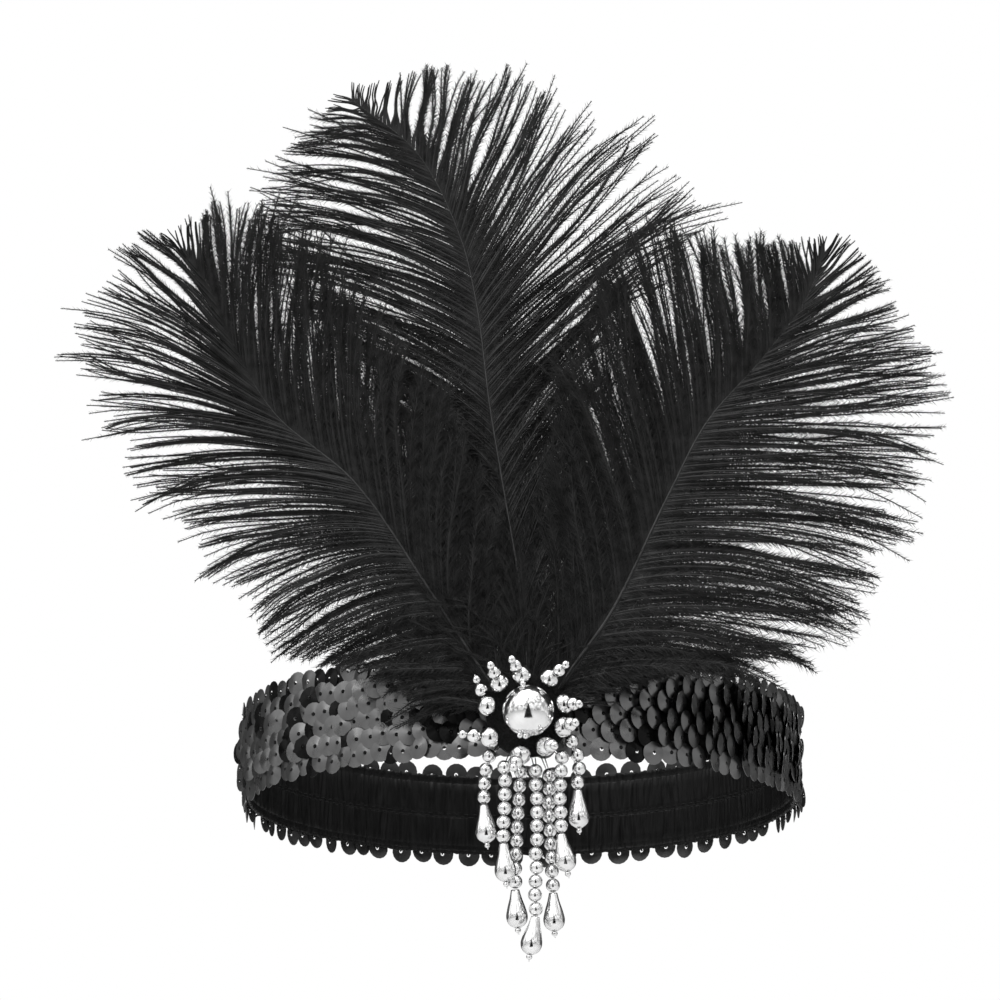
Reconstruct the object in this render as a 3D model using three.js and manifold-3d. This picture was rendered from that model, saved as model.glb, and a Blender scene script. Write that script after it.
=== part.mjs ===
// Feather headband: an oval elastic band with a sewn sequin cover, three ostrich plumes that stand
// at the front, and a bead brooch over their quills with a fringe of bead strands.
// Millimetres. +Z is up as worn and -Y is the front. The origin is the middle of the head opening.
import * as THREE from 'three';
import { mergeVertices } from 'three/addons/utils/BufferGeometryUtils.js';
import Module from 'manifold-3d';

const wasm = await Module();
wasm.setup();

// Clearance between neighbouring pieces, and the distance at which vertices are one
const GAP = 0.3;
const WELD = 1e-4;

// Elastic band: the head opening's half axes, the band's section, and how far its back hangs lower
const HEAD_HALF_WIDTH = 81.4;
const HEAD_HALF_DEPTH = 91.8;
const ELASTIC_THICKNESS = 1.2;
const ELASTIC_HEIGHT = 24.5;
const ELASTIC_COLUMNS = 48;
const BACK_SAG = 1.6;

// Sequin cover: rows of discs sewn round the band, whose end rows overhang the elastic
const SEQUIN_RADIUS = 3.5;
const SEQUINS_PER_ROW = 54;
const SEQUIN_ROWS = 9;
const SEQUIN_ROW_STEP = 3;
const SEQUIN_LAYER = 1.7;
const SCALLOP_STEPS = 2;

// Plumes: a tapered shaft with a vane on both sides, whose outer edge parts into pointed locks
const QUILL_RADIUS = 1.3;
const SHAFT_TIP_RADIUS = 0.6;
const SHAFT_SIDES = 6;
const SHAFT_STEPS = 12;
const LOCKS_PER_VANE = 11;
const LOCK_STEPS = 3;
const LOCK_FULL_LENGTH = 50;
const LOCK_NOTCH = 0.62;
const LOCK_BEND = 0.32;
const LOCK_BOW = 0.17;
const LOCK_RUFFLE = 2.5;
const VANE_ROOT_THICKNESS = 0.9;
const VANE_EDGE_THICKNESS = 1.6;

// Brooch: a hidden base disc, a ball in the middle and short stacks of beads round it
const BROOCH_Z = -4.8;
const BASE_RADIUS = 12;
const BASE_THICKNESS = 2;
const BASE_SIDES = 24;
const BALL_RADIUS = 7.5;
const BALL_SIDES = 16;
const BALL_RINGS = 10;
const RAY_BEAD_RADIUS = 3;
const RAY_TIP_RADIUS = 2;

// Fringe: strings of beads, each with a teardrop at its end
const BEAD_RADIUS = 2;
const BEAD_PITCH = 2 * BEAD_RADIUS;
const BEAD_SIDES = 10;
const BEAD_NECK_RADIUS = 0.6;
const THREAD_RADIUS = 0.4;
const THREAD_SIDES = 6;

// Depths in front of the origin, stacked outward from the head
const COVER_BACK = HEAD_HALF_DEPTH + ELASTIC_THICKNESS + GAP;
const QUILL_DEPTH = COVER_BACK + SEQUIN_LAYER + GAP + QUILL_RADIUS;
const BASE_DEPTH = QUILL_DEPTH + QUILL_RADIUS + GAP + BASE_THICKNESS / 2;
const BASE_FRONT = BASE_DEPTH + BASE_THICKNESS / 2;

// Each shaft runs through its rows from the quill to the tip. forward is how far a row lies in front
// of the quills. A vane's rows give where along the shaft a barb starts and where its tip lies. side
// is -1 to the left and 1 to the right, and cup is how far the tips curl forward.
const FEATHERS = [
  {
    name: 'feather_left',
    shaft: [
      { x: -5.5, z: -9, forward: 0 },
      { x: -8, z: 0.5, forward: 0 },
      { x: -15, z: 12, forward: 0.4 },
      { x: -28, z: 32, forward: 1.5 },
      { x: -50, z: 64, forward: 2.5 },
      { x: -73.5, z: 84.5, forward: 3 },
      { x: -86, z: 106, forward: 3.5 },
      { x: -92.5, z: 122, forward: 4 },
      { x: -103.5, z: 135.5, forward: 5 },
    ],
    vanes: [
      {
        side: -1,
        cup: 6,
        barbs: [
          { root: 0.06, x: -26, z: -6 },
          { root: 0.2, x: -55, z: 12 },
          { root: 0.35, x: -80, z: 31 },
          { root: 0.5, x: -106, z: 64 },
          { root: 0.62, x: -124, z: 84 },
          { root: 0.72, x: -134, z: 104 },
          { root: 0.85, x: -122, z: 129 },
          { root: 0.97, x: -107, z: 138 },
        ],
      },
      {
        side: 1,
        cup: 0,
        barbs: [
          { root: 0.1, x: -9, z: 42 },
          { root: 0.25, x: -26, z: 80 },
          { root: 0.4, x: -44, z: 100 },
          { root: 0.58, x: -61, z: 130 },
          { root: 0.7, x: -77, z: 145 },
          { root: 0.84, x: -89, z: 148 },
          { root: 0.97, x: -101, z: 141 },
        ],
      },
    ],
  },
  {
    name: 'feather_centre',
    shaft: [
      { x: 0.3, z: -9, forward: 0 },
      { x: 0, z: 9, forward: 0 },
      { x: -0.7, z: 22, forward: -0.2 },
      { x: -3, z: 41, forward: -4.5 },
      { x: -6.6, z: 63.5, forward: -8 },
      { x: -10.7, z: 89, forward: -9 },
      { x: -14.6, z: 119.5, forward: -9 },
      { x: -19.5, z: 140, forward: -8 },
      { x: -32, z: 164.5, forward: -6 },
      { x: -51, z: 180, forward: -4 },
    ],
    vanes: [
      {
        side: -1,
        cup: -8,
        barbs: [
          { root: 0.12, x: -18, z: 46 },
          { root: 0.25, x: -28, z: 75 },
          { root: 0.38, x: -37, z: 93 },
          { root: 0.53, x: -58, z: 118 },
          { root: 0.7, x: -79, z: 146 },
          { root: 0.82, x: -74, z: 162 },
          { root: 0.97, x: -56, z: 177 },
        ],
      },
      {
        side: 1,
        cup: -8,
        barbs: [
          { root: 0.12, x: 12, z: 42 },
          { root: 0.25, x: 16, z: 85 },
          { root: 0.4, x: 24, z: 114 },
          { root: 0.55, x: 50, z: 154 },
          { root: 0.66, x: 22, z: 180 },
          { root: 0.76, x: -4, z: 192 },
          { root: 0.86, x: -26, z: 192 },
          { root: 0.97, x: -45, z: 184 },
        ],
      },
    ],
  },
  {
    name: 'feather_right',
    shaft: [
      { x: 4.5, z: -9, forward: 0 },
      { x: 7.5, z: 0.5, forward: 0 },
      { x: 13, z: 10, forward: 0.6 },
      { x: 24, z: 25.5, forward: 3.6 },
      { x: 41, z: 60.5, forward: 5.5 },
      { x: 52, z: 81.5, forward: 6 },
      { x: 67.5, z: 99.5, forward: 6.5 },
      { x: 81.5, z: 119, forward: 7.5 },
      { x: 87.5, z: 135.5, forward: 9 },
    ],
    vanes: [
      {
        side: -1,
        cup: 1,
        barbs: [
          { root: 0.12, x: 8, z: 52 },
          { root: 0.25, x: 10, z: 84 },
          { root: 0.39, x: 14, z: 108 },
          { root: 0.54, x: 31, z: 139 },
          { root: 0.68, x: 53, z: 145 },
          { root: 0.85, x: 72, z: 143 },
          { root: 0.97, x: 85, z: 138 },
        ],
      },
      {
        side: 1,
        cup: 6,
        barbs: [
          { root: 0.06, x: 26, z: -2 },
          { root: 0.16, x: 66, z: 6 },
          { root: 0.25, x: 84, z: 18 },
          { root: 0.42, x: 106, z: 44 },
          { root: 0.6, x: 120, z: 73 },
          { root: 0.69, x: 122, z: 92 },
          { root: 0.8, x: 111, z: 112 },
          { root: 0.97, x: 91, z: 134 },
        ],
      },
    ],
  },
];

// Each ray's first bead lies at a polar place round the ball. heading is the stack's direction as
// seen from the front and rise is how far it turns towards the viewer, all in degrees.
const RAYS = [
  { polar: 169, distance: 11.8, heading: 113, rise: 9 },
  { polar: 133, distance: 12, heading: 122, rise: 54 },
  { polar: 99, distance: 11.3, heading: 130, rise: 57 },
  { polar: 59, distance: 12, heading: 33, rise: 49 },
  { polar: 16, distance: 10.8, heading: -17, rise: 58 },
  { polar: -21, distance: 10.7, heading: 0, rise: 65 },
  { polar: -62, distance: 10.5, heading: -29, rise: 70 },
  { polar: -100, distance: 12, heading: -114, rise: 50 },
  { polar: -148, distance: 12.8, heading: 177, rise: 16 },
];

// Each strand's first bead is at x, z and lies forward of the base disc's middle. lean is how far the
// last bead hangs to the side, bow is the sway between, and tilt is the drop's angle in degrees.
const STRANDS = [
  { beads: 4, x: -10.9, z: -16.3, forward: 0, lean: -1.7, bow: -0.3, tilt: 5 },
  { beads: 6, x: -6.8, z: -20.2, forward: 3.8, lean: -0.2, bow: 0.2, tilt: 4 },
  { beads: 9, x: -2, z: -20.9, forward: -0.4, lean: -1.6, bow: -0.2, tilt: 4 },
  { beads: 11, x: 2.3, z: -21.2, forward: 3, lean: -0.1, bow: 0.2, tilt: -9 },
  { beads: 9, x: 6.3, z: -21.8, forward: -0.4, lean: 1, bow: -0.4, tilt: 2 },
  { beads: 6, x: 9.7, z: -17.3, forward: 3.6, lean: -0.3, bow: -0.2, tilt: 10 },
  { beads: 4, x: 12.9, z: -11.9, forward: 0, lean: 1.5, bow: 1, tilt: 2 },
];

// A teardrop from its narrow top to its round end
const DROP_PROFILE = [
  { down: 0, radius: 1.2 },
  { down: 2.6, radius: 1.8 },
  { down: 5.2, radius: 2.6 },
  { down: 7.9, radius: 3.1 },
  { down: 9.8, radius: 2.5 },
  { down: 11, radius: 0.9 },
];

const SILVER = { color: 0xc8c8cb, metalness: 1, roughness: 0.2 };
const ELASTIC_BLACK = { color: 0x0c0c0d, metalness: 0, roughness: 0.9 };
const SEQUIN_BLACK = { color: 0x17171a, metalness: 0, roughness: 0.25 };
const FEATHER_BLACK = { color: 0x060607, metalness: 0, roughness: 0.75 };
const FELT_BLACK = { color: 0x101011, metalness: 0, roughness: 0.95 };

const DEPTH_AXIS = new THREE.Vector3(0, 1, 0);

function mapVertices(geometry, place) {
  const position = geometry.attributes.position;
  const point = new THREE.Vector3();
  for (let i = 0; i < position.count; i += 1) {
    point.fromBufferAttribute(position, i);
    place(point);
    position.setXYZ(i, point.x, point.y, point.z);
  }
  return geometry;
}

// The same surface with its shared vertices merged
function weld(geometry) {
  geometry.deleteAttribute('normal');
  geometry.deleteAttribute('uv');
  return mergeVertices(geometry, WELD);
}

function toSolid(geometry) {
  const closed = weld(geometry);
  const vertProperties = new Float32Array(closed.attributes.position.array);
  const triVerts = new Uint32Array(closed.index.array);
  return new wasm.Manifold(new wasm.Mesh({ numProp: 3, vertProperties, triVerts }));
}

function toGeometry(solid) {
  const { vertProperties, triVerts } = solid.getMesh();
  const geometry = new THREE.BufferGeometry();
  geometry.setAttribute('position', new THREE.BufferAttribute(vertProperties, 3));
  geometry.setIndex(new THREE.BufferAttribute(triVerts, 1));
  geometry.computeVertexNormals();
  return geometry;
}

function fuse(geometries) {
  const [first, ...others] = geometries.map(toSolid);
  return toGeometry(others.reduce((whole, other) => whole.add(other), first));
}

function mesh(name, geometry, finish) {
  const piece = new THREE.Mesh(geometry, new THREE.MeshStandardMaterial(finish));
  piece.name = name;
  return piece;
}

// A wall that follows the oval of the head opening at a distance outside it. edgeHeight gives the
// half height at a turn round the oval, counted from the front.
function ovalWall(offset, thickness, columns, edgeHeight) {
  const corners = [[1, -1], [2, -1], [2, 1], [1, 1], [1, -1]];
  const profile = corners.map(([side, level]) => new THREE.Vector2(side, level));
  const wall = new THREE.LatheGeometry(profile, columns);
  return mapVertices(wall, (point) => {
    const turn = Math.atan2(point.x, point.z);
    const outward = offset + (Math.hypot(point.x, point.z) - 1) * thickness;
    const sag = BACK_SAG * ((1 - Math.cos(turn)) / 2) ** 2;
    const height = point.y * edgeHeight(turn) - sag;
    const x = Math.sin(turn) * (HEAD_HALF_WIDTH + outward);
    const y = Math.cos(turn) * (HEAD_HALF_DEPTH + outward);
    point.set(x, -y, height);
  });
}

function elasticBand() {
  return ovalWall(0, ELASTIC_THICKNESS, ELASTIC_COLUMNS, () => ELASTIC_HEIGHT / 2);
}

// Half height of the cover: the end row's discs stand proud of the elastic's edge
function scallopHeight(turn) {
  const endRow = ((SEQUIN_ROWS - 1) / 2) * SEQUIN_ROW_STEP;
  const valley = ELASTIC_HEIGHT / 2;
  const phase = Math.abs(Math.cos((turn * SEQUINS_PER_ROW) / 2));
  return THREE.MathUtils.lerp(valley, endRow + SEQUIN_RADIUS, phase);
}

function sequinRows() {
  const offset = COVER_BACK - HEAD_HALF_DEPTH;
  return ovalWall(offset, SEQUIN_LAYER, SEQUINS_PER_ROW * SCALLOP_STEPS, scallopHeight);
}

function shaftPath(rows) {
  const points = rows.map((row) => new THREE.Vector3(row.x, -QUILL_DEPTH - row.forward, row.z));
  return new THREE.CatmullRomCurve3(points, false, 'centripetal');
}

// A round bar bent along the path, thinner towards the tip
function shaftBar(path) {
  const bar = new THREE.CylinderGeometry(1, 1, 1, SHAFT_SIDES, SHAFT_STEPS);
  return mapVertices(bar, (point) => {
    const t = THREE.MathUtils.clamp(point.y + 0.5, 0, 1);
    const radius = THREE.MathUtils.lerp(QUILL_RADIUS, SHAFT_TIP_RADIUS, t);
    const along = path.getTangentAt(t);
    const across = new THREE.Vector3().crossVectors(DEPTH_AXIS, along).normalize();
    const through = new THREE.Vector3().crossVectors(across, along);
    const { x, z } = point;
    point.copy(path.getPointAt(t));
    point.addScaledVector(across, x * radius);
    point.addScaledVector(through, z * radius);
  });
}

// The tip of a barb that starts at a place along the shaft, between the rows of its vane
function barbTip(barbs, root) {
  const next = Math.max(1, barbs.findIndex((row) => row.root >= root));
  const low = barbs[next - 1];
  const high = barbs[next];
  const share = (root - low.root) / (high.root - low.root);
  return { x: THREE.MathUtils.lerp(low.x, high.x, share), z: THREE.MathUtils.lerp(low.z, high.z, share) };
}

// A barb leaves the shaft forwards along it and bends outwards, and its tip curls out of the vane
function barbCurve(path, { barbs, cup }, root, ruffle) {
  const start = path.getPointAt(root);
  const { x, z } = barbTip(barbs, root);
  const length = Math.hypot(x - start.x, z - start.z);
  const curl = (cup + ruffle) * Math.min(1, length / LOCK_FULL_LENGTH);
  const tip = new THREE.Vector3(x, start.y - curl, z);
  const bend = start.clone().lerp(tip, LOCK_BEND);
  bend.addScaledVector(path.getTangentAt(root), LOCK_BOW * length);
  return new THREE.QuadraticBezierCurve3(start, bend, tip);
}

// One vane: a plate from the shaft to the tips, long at the middle of each lock and short between
function vanePlate(path, vane) {
  const steps = 2 * LOCKS_PER_VANE;
  const first = vane.barbs[0].root;
  const last = vane.barbs[vane.barbs.length - 1].root;
  const plate = new THREE.BoxGeometry(1, 1, 1, LOCK_STEPS, steps, 1);
  return mapVertices(plate, (point) => {
    const outward = point.x + 0.5;
    const step = Math.round((point.y + 0.5) * steps);
    const inLock = step % 2 === 1;
    const ruffle = Math.floor(step / 2) % 2 === 0 ? LOCK_RUFFLE : -LOCK_RUFFLE;
    const root = THREE.MathUtils.lerp(first, last, step / steps);
    const reach = inLock ? 1 : LOCK_NOTCH;
    const curve = barbCurve(path, vane, root, inLock ? ruffle : 0);
    const spread = Math.min(1, outward * LOCK_STEPS);
    const thickness = THREE.MathUtils.lerp(VANE_ROOT_THICKNESS, VANE_EDGE_THICKNESS, spread);
    const through = -vane.side * point.z * thickness;
    point.copy(curve.getPoint(outward * reach));
    point.y += through;
  });
}

function feather({ name, shaft, vanes }) {
  const path = shaftPath(shaft);
  const plates = vanes.map((vane) => vanePlate(path, vane));
  return mesh(name, fuse([shaftBar(path), ...plates]), FEATHER_BLACK);
}

// Profile points of a round bead between its two ends, from low to high
function beadArc(centre, radius) {
  const side = radius * Math.SQRT1_2;
  return [
    new THREE.Vector2(side, centre - side),
    new THREE.Vector2(radius, centre),
    new THREE.Vector2(side, centre + side),
  ];
}

function broochBase() {
  const base = new THREE.CylinderGeometry(BASE_RADIUS, BASE_RADIUS, BASE_THICKNESS, BASE_SIDES);
  const piece = mesh('brooch_base', base, FELT_BLACK);
  piece.position.set(0, -BASE_DEPTH, BROOCH_Z);
  return piece;
}

function centreBall() {
  const ball = new THREE.SphereGeometry(BALL_RADIUS, BALL_SIDES, BALL_RINGS);
  const piece = mesh('centre_ball', ball, SILVER);
  piece.position.set(0, -BASE_FRONT - GAP - BALL_RADIUS, BROOCH_Z);
  return piece;
}

// A unit direction seen from the front at a heading, turned towards the viewer by a rise
function frontDirection(heading, rise) {
  const turn = THREE.MathUtils.degToRad(heading);
  const lift = THREE.MathUtils.degToRad(rise);
  const flat = Math.cos(lift);
  return new THREE.Vector3(Math.cos(turn) * flat, -Math.sin(lift), Math.sin(turn) * flat);
}

function ray(name, { polar, distance, heading, rise }) {
  const tipCentre = RAY_BEAD_RADIUS + RAY_TIP_RADIUS;
  const profile = [
    new THREE.Vector2(0, -RAY_BEAD_RADIUS),
    ...beadArc(0, RAY_BEAD_RADIUS),
    new THREE.Vector2(BEAD_NECK_RADIUS, RAY_BEAD_RADIUS),
    ...beadArc(tipCentre, RAY_TIP_RADIUS),
    new THREE.Vector2(0, tipCentre + RAY_TIP_RADIUS),
  ];
  const piece = mesh(name, new THREE.LatheGeometry(profile, BEAD_SIDES), SILVER);
  const place = frontDirection(polar, 0).multiplyScalar(distance);
  piece.position.set(place.x, -BASE_FRONT - GAP - RAY_BEAD_RADIUS, BROOCH_Z + place.z);
  piece.quaternion.setFromUnitVectors(DEPTH_AXIS, frontDirection(heading, rise));
  return piece;
}

// Sideways place of a strand at a share of the way from its first bead to its last
function sway({ x, lean, bow }, share) {
  return x + lean * share + bow * Math.sin(Math.PI * share);
}

function beadString(row) {
  const length = (row.beads - 1) * BEAD_PITCH;
  const profile = [new THREE.Vector2(0, -length - BEAD_RADIUS)];
  for (let bead = row.beads - 1; bead >= 0; bead -= 1) {
    const centre = -bead * BEAD_PITCH;
    const endRadius = bead > 0 ? BEAD_NECK_RADIUS : 0;
    profile.push(...beadArc(centre, BEAD_RADIUS), new THREE.Vector2(endRadius, centre + BEAD_RADIUS));
  }
  const string = new THREE.LatheGeometry(profile, BEAD_SIDES);
  return mapVertices(string, (point) => {
    const share = THREE.MathUtils.clamp(-point.y / length, 0, 1);
    const across = sway(row, share) + point.x;
    const depth = BASE_DEPTH + row.forward + point.z;
    point.set(across, -depth, row.z + point.y);
  });
}

// The thread from the first bead up to the rim of the base disc
function hangingThread(row) {
  const bead = new THREE.Vector3(row.x, -BASE_DEPTH - row.forward, row.z);
  const rim = new THREE.Vector3(row.x, 0, row.z - BROOCH_Z).setLength(BASE_RADIUS + GAP);
  rim.add(new THREE.Vector3(0, -BASE_DEPTH, BROOCH_Z));
  const length = bead.distanceTo(rim);
  const thread = new THREE.CylinderGeometry(THREAD_RADIUS, THREAD_RADIUS, length, THREAD_SIDES);
  const direction = rim.clone().sub(bead).normalize();
  thread.applyQuaternion(new THREE.Quaternion().setFromUnitVectors(DEPTH_AXIS, direction));
  const middle = bead.lerp(rim, 0.5);
  return thread.translate(middle.x, middle.y, middle.z);
}

function strand(name, row) {
  return mesh(name, fuse([beadString(row), hangingThread(row)]), SILVER);
}

function drop(name, row) {
  const profile = DROP_PROFILE.map(({ down, radius }) => new THREE.Vector2(radius, -down)).reverse();
  profile.unshift(new THREE.Vector2(0, profile[0].y));
  profile.push(new THREE.Vector2(0, 0));
  const teardrop = new THREE.LatheGeometry(profile, BEAD_SIDES).rotateX(Math.PI / 2);
  const piece = mesh(name, teardrop, SILVER);
  const top = row.z - (row.beads - 1) * BEAD_PITCH - BEAD_RADIUS - GAP;
  piece.position.set(sway(row, 1), -BASE_DEPTH - row.forward, top);
  piece.rotation.y = THREE.MathUtils.degToRad(-row.tilt);
  return piece;
}

const headband = new THREE.Group();
headband.add(mesh('elastic_band', elasticBand(), ELASTIC_BLACK));
headband.add(mesh('sequin_rows', sequinRows(), SEQUIN_BLACK));
FEATHERS.forEach((row) => headband.add(feather(row)));
headband.add(broochBase());
headband.add(centreBall());
RAYS.forEach((row, index) => headband.add(ray(`ray_${index + 1}`, row)));
STRANDS.forEach((row, index) => headband.add(strand(`strand_${index + 1}`, row)));
STRANDS.forEach((row, index) => headband.add(drop(`drop_${index + 1}`, row)));

export default headband;
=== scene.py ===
"""Feather headband: a sequinned elastic band with three ostrich plumes and a silver bead brooch."""
import math
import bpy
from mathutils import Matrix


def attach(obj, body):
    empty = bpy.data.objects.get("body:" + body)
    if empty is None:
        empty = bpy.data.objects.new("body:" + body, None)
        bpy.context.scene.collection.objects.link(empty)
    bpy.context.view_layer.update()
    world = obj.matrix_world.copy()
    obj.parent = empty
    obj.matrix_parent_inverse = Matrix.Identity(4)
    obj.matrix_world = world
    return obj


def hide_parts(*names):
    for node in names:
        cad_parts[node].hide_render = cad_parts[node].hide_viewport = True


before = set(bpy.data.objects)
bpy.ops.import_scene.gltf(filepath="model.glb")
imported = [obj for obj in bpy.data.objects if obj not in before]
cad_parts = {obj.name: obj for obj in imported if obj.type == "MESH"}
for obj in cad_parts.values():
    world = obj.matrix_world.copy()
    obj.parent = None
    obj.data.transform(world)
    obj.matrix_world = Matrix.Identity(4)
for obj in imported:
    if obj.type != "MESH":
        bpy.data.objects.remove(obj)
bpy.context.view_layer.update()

from types import SimpleNamespace

import bpy
import numpy as np
from mathutils import Vector

# Sizes are millimetres and degrees in the frame of the CAD: +Z is up as worn, -Y is the front. Other
# values are counts, shares of a length, and radians for waves and for the lean of the barbules.
MM = 0.001
SEED = 1925

# Elastic band: the head opening's half axes, the band's section and how far its back hangs lower
HEAD_HALF_WIDTH = 81.4
HEAD_HALF_DEPTH = 91.8
ELASTIC_HEIGHT = 24.5
ELASTIC_THICKNESS = 1.2
BACK_SAG = 1.6
GATHERS = 390
GATHER_COLUMNS = 3
GATHER_WIDTHS = (0.5, 1.7)
GATHER_DEPTHS = (0.35, 1)
GATHER_CREASE = 0.55
GATHER_DEPTH = 0.95
GATHER_WANDER = 0.35
WANDERS_ROUND = 23
WANDER_SWING = 3
WANDER_SLANT = 0.25
OUTER_PUCKER = 0.3
HEM_RUFFLE = 0.012
ELASTIC_ROWS = 10
OUTER_ROWS = 5
SHIRRING_LINES = (-10.4, -0.3, 10.4)
SHIRRING_STITCHES = 180
SHIRRING_PLACE = 0.4
SHIRRING_DIP = 0.3
THREAD_PAIR = 0.45

# Sequins: rows of thin cupped discs round the band, each sewn through the hole in its middle. The
# shoulder is where along its radius a disc turns, and the share of its cup there.
SEQUIN_RADIUS = 3.5
SEQUIN_HOLE = 0.6
SEQUIN_THICKNESS = 0.12
SEQUIN_CUP = 0.6
SEQUIN_SHOULDER = (0.55, 0.4)
SEQUIN_SIDES = 16
SEQUIN_SHARP_ANGLE = 40
SEQUINS_PER_ROW = 96
SEQUIN_ROWS = 6
SEQUIN_ROW_STEP = 4.9
FRONT_CROWDING = 0.25
SIDE_CROWDING = 0.2
STEP_STRAY = 0.09
HEIGHT_STRAY = 0.4
SEQUIN_LIFT = (0.1, 0.5)
SHINGLE_TILT = 15
FRONT_RIGHT_TILT = 17
RIGHT_END_CALM = 12
SEQUIN_LOOSENESS = 6
SEQUIN_NOD = 3.5
STEEPEST_SEQUIN = 30
EDGE_ROW_TILT = 2
# Share of discs given painted shade: a darker, less shiny finish that stands in for discs that look
# black by reflecting dark surroundings
PAINTED_SHADE_SEQUIN_SHARE = 0.12
STITCH_RADIUS = 0.3
STITCH_SIDES = 5
STITCH_TOP = 0.15
STITCH_SEAT = 0.8
STITCH_HEM = 1

# Plumes: a tapered shaft, and flat barbs along both sides with fine barbules along their edges
QUILL_DEPTH = 96.6
QUILL_RADIUS = 0.6
SHAFT_TIP_RADIUS = 0.08
SHAFT_TAPER = 1.4
SHAFT_SIDES = 8
SHAFT_STEPS = 90
BARBS_PER_VANE = 330
FIRST_BARB = 0.4
START_STRAY = 0.15
VANE_MIDDLE = 0.75
ROOT_WEIGHT = 0.1
BARB_BEND = 0.32
CURLED_LENGTH = 50
FULL_BARB_LENGTH = 30
BARB_RIDGE = 0.16
BARB_STEPS = 10
LONGEST_BARB = 1.1
BARB_SHORTFALL = 0.22
CROWN_REACH = 0.08
CROWN_REACH_SHARE = (0.7, 1)
CROWN_SHARE = (0.5, 0.85)
LAPPED_SHARE = (0.5, 0.75)
LAPPED_CALM = 4
FOOT_UNEVENNESS = 0.06
CROWN_UNEVENNESS = 0.14
BARB_RUFFLE = 1.4
BEND_RUFFLE = 1.6
DROOP = 0.02

# Tufts of neighbouring barbs, the smaller locks in them that cling together, and the barbs that stray
TUFT_BARBS = (10, 26)
TUFT_CLING = 0.12
TUFT_GATHERS = (0.1, 0.6)
TUFT_ASIDE = 0.03
LOCK_REACH = (0.94, 1.08)
LOCK_ROUNDING = 0.2
LOCK_RUFFLE = 2.6
LOCK_CLING = 0.88
LOCK_PARTS_SPREAD = 0.3
LOCK_PARTING = 0.35
LOCK_RELEASE = 0.12
LOCK_RELEASE_FROM = 0.65
LOCK_WAVE = 0.03
LOCK_WAVES = (0.5, 1.4)
WAVES_SPREAD = 0.1
PHASE_SPREAD = 0.5
LOCK_ASIDE = 0.035
LOOSE_LENGTH = 11
GRIP_SPREAD = 0.5
STRAY_SHARE = 0.18
STRAY_GRIP = 0.2
STRAY_ASIDE = 0.08
BARB_ASIDE = 0.02

# Barbules, and the short soft barbs of down at a plume's foot
BARBULE_STEPS = 100
BARBULE_WIDTH = 0.19
FULL_BARBULE_LENGTH = 2
BARBULE_REACH = (0.5, 1.3)
BARBULE_ANGLES = (15, 60)
BARBULE_FOLD = 0.15
BARBULE_FOOT = 0.7
BARBULE_LEAN = 0.4
BARB_LEAN = 0.35
FLUFF_SHARES = (0.25, 0.5, 0.8)
DOWN_BARBS = 190
DOWN_SHARES = (0.01, 0.13)
DOWN_LENGTHS = (12, 34)
DOWN_FORWARD = (-1, 3)
DOWN_CROWDING = 0.7
DOWN_BEND = 0.3

# Brooch and fringe: drilled silver beads round a ball, and strings of beads that end in teardrops
BASE_DEPTH = 99.2
BROOCH_Z = -4.8
BASE_RADIUS = 12
RAY_DEPTH = 103.5
BALL_DEPTH = 108
BALL_RADIUS = 7.5
BALL_HOLE = 0.7
RAY_BEAD_RADII = (3, 2, 1.25)
RAY_HOLE_SHARE = 0.22
BEAD_RADIUS = 2
BEAD_PITCH = 4
BEAD_HOLE = 0.45
BEAD_JITTER = (0.12, 0.12, 0.04)
BEAD_TILT = 0.12
SEED_BEAD_RADIUS = 0.9
SEED_BEAD_HOLE = 0.25
SEED_BEAD_SEAT = 0.5
GAP = 0.3
THREAD_RADIUS = 0.16
THREAD_SIDES = 6
THREADS_ASIDE = (-0.25, 0.25)
THREAD_END = 0.2
STOPPER_RADIUS = 0.85
STOPPER_PLACE = 0.7
DROP_HOLE = 0.4
DROP_LIP = 0.3
DROP_STEPS = 22
DROP_SIDES = 28

# The photograph's camera and its view
CAMERA_PLACE = (-39.53, -2264.71, -399.39)
CAMERA_PITCH = 11.947
CAMERA_YAW = -0.836
CAMERA_ANGLE = 7.481

# Stage: the floor, a dark card that the silver reflects, and the lights' place, aim, size and watts
FLOOR_Z = -620
FLOOR_REACH = 6000
FLAG_CORNERS = ((-270, -750, -550), (270, -750, -550), (0, -750, 300))
LIGHTS = {
    "key": ((-1100, -1400, 1500), (0, 0, 50), 1800, 20),
    "overhead": ((0, -600, 1900), (0, -600, 0), 2000, 30),
}

# The studio round the headband: its brightness in front and behind, below and above, and between
# its light panels and on them
DEPTH_LEVELS = (1.0, 0.11)
HEIGHT_LEVELS = (0.75, 1.35)
PANEL_LEVELS = (0.35, 1.15)
PANEL_SCALE = 6

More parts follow.
